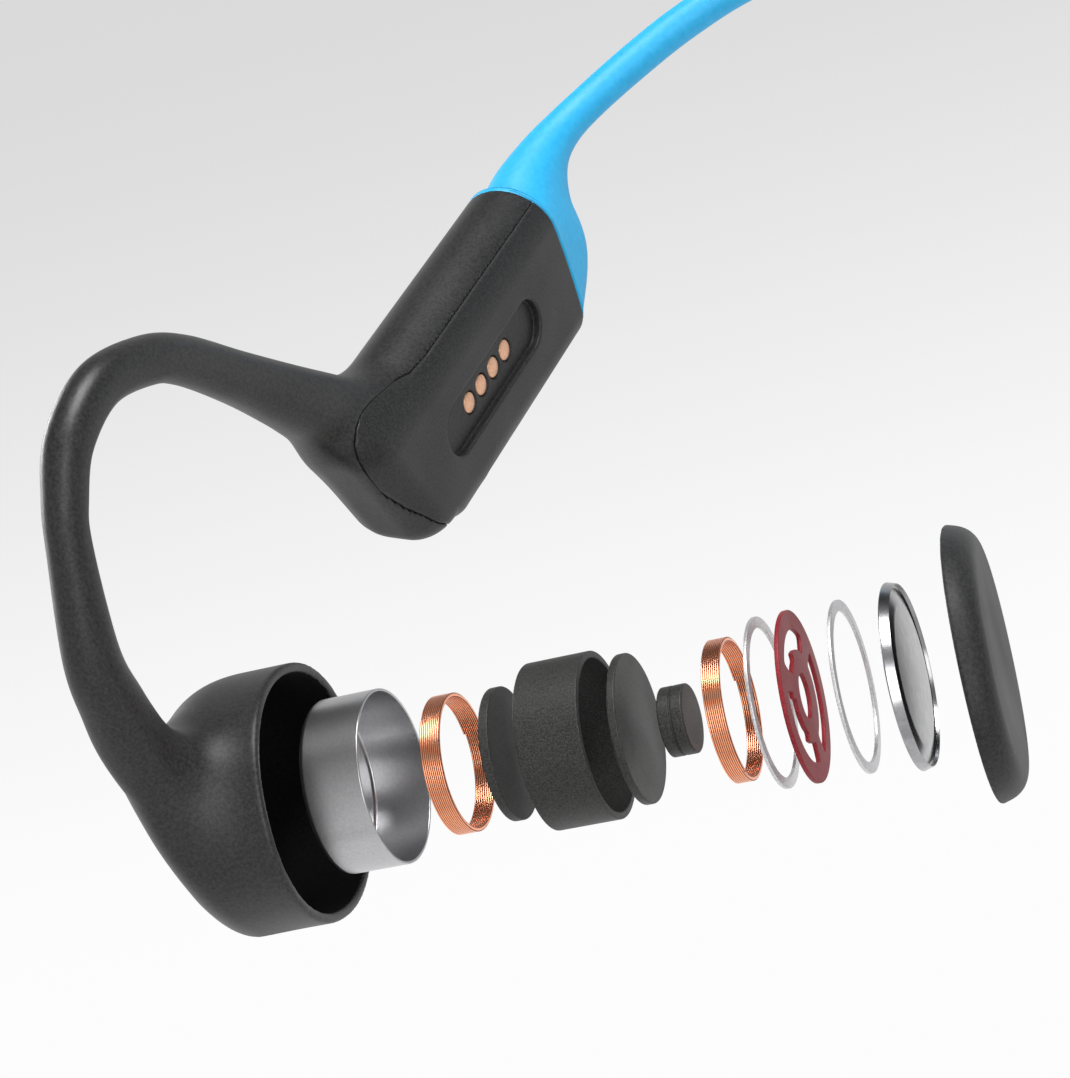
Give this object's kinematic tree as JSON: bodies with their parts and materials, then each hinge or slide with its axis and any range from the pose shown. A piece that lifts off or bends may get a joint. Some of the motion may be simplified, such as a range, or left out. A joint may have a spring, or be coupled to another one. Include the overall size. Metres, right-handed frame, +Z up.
{
  "type": "bone conduction headphones",
  "caption": "Open-ear neckband headset with ear hooks and button pods, one bone-conduction driver drawn apart along its axis, the other closed.",
  "frame": {"origin": "the middle of the whole headset's bounding box", "axes": "+X to the wearer's left, +Y to the back of the head, +Z up"},
  "size_m": [0.1336, 0.117, 0.0553],
  "materials": {
    "black_casing": "fine-grained matt moulded plastic",
    "black_silicone": "smooth satin silicone skin",
    "blue_silicone": "satin sky-blue silicone",
    "satin_steel": "satin drawn steel",
    "chrome": "polished",
    "spacer_metal": "bead-blasted",
    "magnet_coat": "speckled dark grey powder coat",
    "copper_wire": "enamelled copper winding",
    "red_spring": "dark red lacquered spring steel",
    "contact_copper": "plated copper",
    "insulator": "dark moulded insulator",
    "board_green": "solder mask over glass-fibre",
    "battery_foil": "foil pouch",
    "seal_grey": "soft silicone seal",
    "titanium": "drawn titanium wire",
    "cable_sheath": "thin flexible sheath",
    "magnet_nickel": "nickel plated",
    "switch_metal": "gold-plated dome"
  },
  "bodies": {
    "headset": {"right_pod_cover": "black_casing", "right_pod_shell": "black_casing", "right_pod_gasket": "seal_grey", "circuit_board": "board_green", "contact_carrier": "insulator", "charge_contacts": "contact_copper", "dock_magnets": "magnet_nickel", "button_board": "board_green", "right_ear_hook": "black_silicone", "right_hook_wire": "titanium", "right_hook_cable": "cable_sheath", "right_driver_cup": "black_casing", "right_damper_ring": "seal_grey", "right_neckband": "blue_silicone", "right_band_wire": "titanium", "right_band_cable": "cable_sheath"},
    "right_driver_can_body": {"right_driver_can": "satin_steel"},
    "right_rear_coil_body": {"right_rear_coil": "copper_wire"},
    "right_rear_plate_body": {"right_rear_plate": "magnet_coat"},
    "right_magnet_sleeve_body": {"right_magnet_sleeve": "magnet_coat"},
    "right_front_plate_body": {"right_front_plate": "magnet_coat"},
    "right_centre_magnets_body": {"right_centre_magnets": "magnet_coat"},
    "right_front_coil_body": {"right_front_coil": "copper_wire"},
    "right_inner_ring_body": {"right_inner_ring": "spacer_metal"},
    "right_spring_plate_body": {"right_spring_plate": "red_spring"},
    "right_outer_ring_body": {"right_outer_ring": "spacer_metal"},
    "right_vibration_plate_body": {"right_vibration_plate": "chrome"},
    "right_ear_pad_body": {"right_ear_pad": "black_silicone"},
    "volume_up_body": {"volume_up_button": "black_casing"},
    "volume_down_body": {"volume_down_button": "black_casing"},
    "left_half": {"left_pod_cover": "black_casing", "left_pod_shell": "black_casing", "left_pod_gasket": "seal_grey", "battery": "battery_foil", "left_ear_hook": "black_silicone", "left_hook_wire": "titanium", "left_hook_cable": "cable_sheath", "left_driver_cup": "black_casing", "left_damper_ring": "seal_grey", "left_driver_can": "satin_steel", "left_rear_coil": "copper_wire", "left_rear_plate": "magnet_coat", "left_magnet_sleeve": "magnet_coat", "left_front_plate": "magnet_coat", "left_centre_magnets": "magnet_coat", "left_front_coil": "copper_wire", "left_inner_ring": "spacer_metal", "left_spring_plate": "red_spring", "left_outer_ring": "spacer_metal", "left_ear_pad": "black_silicone", "function_switch": "switch_metal", "left_neckband": "blue_silicone", "left_band_wire": "titanium", "left_band_cable": "cable_sheath"},
    "left_vibration_body": {"left_vibration_plate": "chrome"},
    "function_button_body": {"function_button": "black_casing"}
  },
  "joints": [
    {"name": "right_pad_slide", "type": "slide", "parent": "headset", "child": "right_ear_pad_body", "axis": [0.9598, 0.2807, 0], "range_m": [-0.05312, 0]},
    {"name": "right_driver_can_slide", "type": "slide", "parent": "headset", "child": "right_driver_can_body", "axis": [0.9598, 0.2807, 0], "range_m": [-0.00975, 0]},
    {"name": "right_rear_coil_slide", "type": "slide", "parent": "headset", "child": "right_rear_coil_body", "axis": [0.9598, 0.2807, 0], "range_m": [-0.0191, 0]},
    {"name": "right_rear_plate_slide", "type": "slide", "parent": "headset", "child": "right_rear_plate_body", "axis": [0.9598, 0.2807, 0], "range_m": [-0.02209, 0]},
    {"name": "right_magnet_sleeve_slide", "type": "slide", "parent": "headset", "child": "right_magnet_sleeve_body", "axis": [0.9598, 0.2807, 0], "range_m": [-0.02723, 0]},
    {"name": "right_front_plate_slide", "type": "slide", "parent": "headset", "child": "right_front_plate_body", "axis": [0.9598, 0.2807, 0], "range_m": [-0.0319, 0]},
    {"name": "right_centre_magnets_slide", "type": "slide", "parent": "headset", "child": "right_centre_magnets_body", "axis": [0.9598, 0.2807, 0], "range_m": [-0.03405, 0]},
    {"name": "right_front_coil_slide", "type": "slide", "parent": "headset", "child": "right_front_coil_body", "axis": [0.9598, 0.2807, 0], "range_m": [-0.03852, 0]},
    {"name": "right_inner_ring_slide", "type": "slide", "parent": "headset", "child": "right_inner_ring_body", "axis": [0.9598, 0.2807, 0], "range_m": [-0.04028, 0]},
    {"name": "right_spring_plate_slide", "type": "slide", "parent": "headset", "child": "right_spring_plate_body", "axis": [0.9598, 0.2807, 0], "range_m": [-0.04235, 0]},
    {"name": "right_outer_ring_slide", "type": "slide", "parent": "headset", "child": "right_outer_ring_body", "axis": [0.9598, 0.2807, 0], "range_m": [-0.046, 0]},
    {"name": "right_vibration_plate_slide", "type": "slide", "parent": "headset", "child": "right_vibration_plate_body", "axis": [0.9598, 0.2807, 0], "range_m": [-0.04961, 0]},
    {"name": "volume_up_press", "type": "slide", "parent": "headset", "child": "volume_up_body", "axis": [0, 0.3007, 0.9537], "range_m": [0, 0.0003], "stiffness_N_per_m": 800},
    {"name": "volume_down_press", "type": "slide", "parent": "headset", "child": "volume_down_body", "axis": [0, 0.3007, 0.9537], "range_m": [0, 0.0003], "stiffness_N_per_m": 800},
    {"name": "neckband_flex", "type": "hinge", "parent": "headset", "child": "left_half", "pos_m": [0, 0.05676, -0.0161], "axis": [0, 0, 1], "range_deg": [-5, 15], "stiffness_Nm_per_rad": 0.5},
    {"name": "left_driver_vibration", "type": "slide", "parent": "left_half", "child": "left_vibration_body", "axis": [-0.9598, 0.2807, 0], "range_m": [-0.0001, 0.0001], "stiffness_N_per_m": 5000},
    {"name": "function_press", "type": "slide", "parent": "left_half", "child": "function_button_body", "axis": [-0.9598, 0.2807, 0], "range_m": [0, 0.0003], "stiffness_N_per_m": 800}
  ],
  "couplings": [
    {"joint": "right_driver_can_slide", "follows": "right_pad_slide", "ratio": 0.18355},
    {"joint": "right_rear_coil_slide", "follows": "right_pad_slide", "ratio": 0.35956},
    {"joint": "right_rear_plate_slide", "follows": "right_pad_slide", "ratio": 0.41585},
    {"joint": "right_magnet_sleeve_slide", "follows": "right_pad_slide", "ratio": 0.51261},
    {"joint": "right_front_plate_slide", "follows": "right_pad_slide", "ratio": 0.60053},
    {"joint": "right_centre_magnets_slide", "follows": "right_pad_slide", "ratio": 0.641},
    {"joint": "right_front_coil_slide", "follows": "right_pad_slide", "ratio": 0.72515},
    {"joint": "right_inner_ring_slide", "follows": "right_pad_slide", "ratio": 0.75828},
    {"joint": "right_spring_plate_slide", "follows": "right_pad_slide", "ratio": 0.79725},
    {"joint": "right_outer_ring_slide", "follows": "right_pad_slide", "ratio": 0.86596},
    {"joint": "right_vibration_plate_slide", "follows": "right_pad_slide", "ratio": 0.93392}
  ]
}
